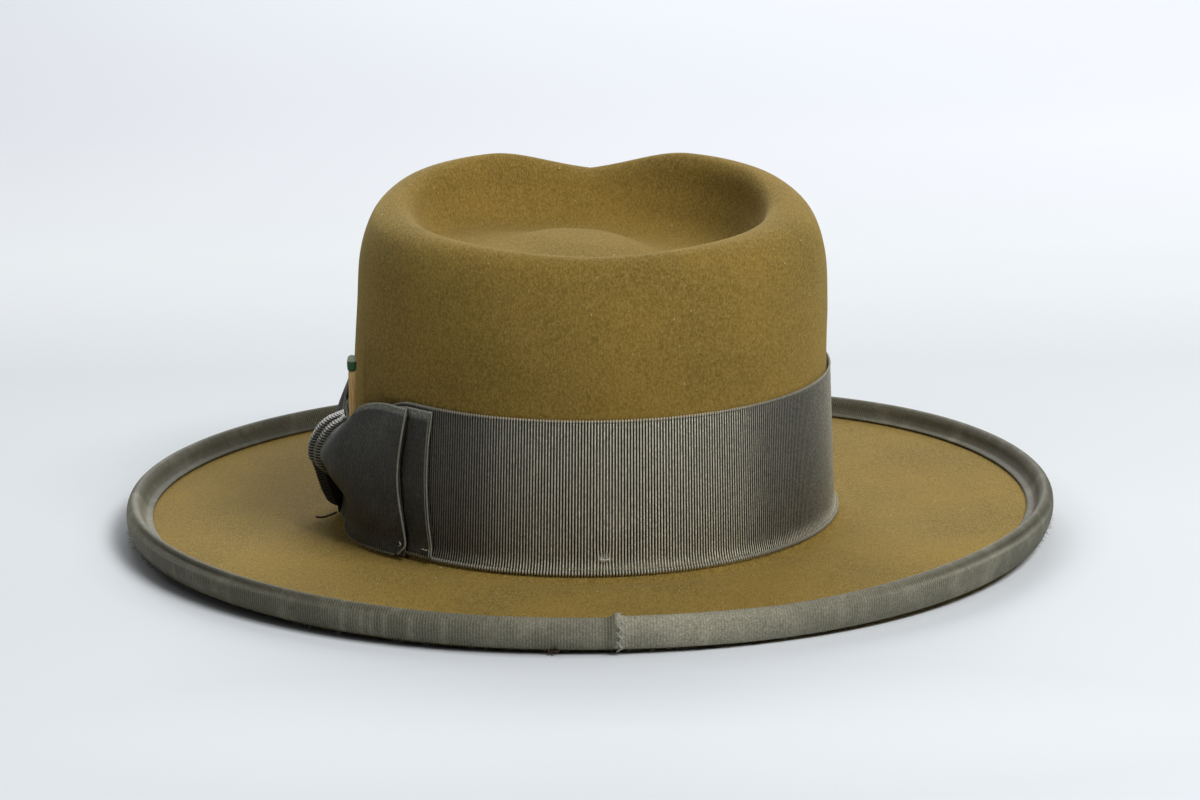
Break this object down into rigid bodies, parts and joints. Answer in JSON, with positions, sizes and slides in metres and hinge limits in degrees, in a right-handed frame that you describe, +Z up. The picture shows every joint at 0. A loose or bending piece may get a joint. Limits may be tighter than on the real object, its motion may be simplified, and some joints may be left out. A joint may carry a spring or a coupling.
{
  "type": "felt fedora hat",
  "caption": "Felt fedora with a dented, pinched crown, a wide ribbon-edged brim, a ribbon band with a folded bow at the side, and a match tucked behind the bow.",
  "frame": {"origin": "centre of the bounding box in plan, on the surface the hat rests on", "axes": "+X towards the wearer's left, where the bow is; +Y towards the wearer's back; +Z up, towards the crown's top"},
  "size_m": [0.3296, 0.3608, 0.1216],
  "materials": {
    "felt": "olive brown brushed felt",
    "ribbon": "faded ribbed ribbon",
    "bow_ribbon": "dark ribbed ribbon",
    "match_wood": "bare pale wood",
    "match_tip": "dull green match head"
  },
  "bodies": {
    "root": {"felt_body": "felt", "brim_binding": "ribbon", "hat_band": "ribbon", "bow_under_layer": "bow_ribbon", "bow_wing_back": "bow_ribbon", "bow_wing_front": "bow_ribbon", "bow_knot": "bow_ribbon", "match_stick": "match_wood", "match_head": "match_tip"}
  },
  "joints": []
}
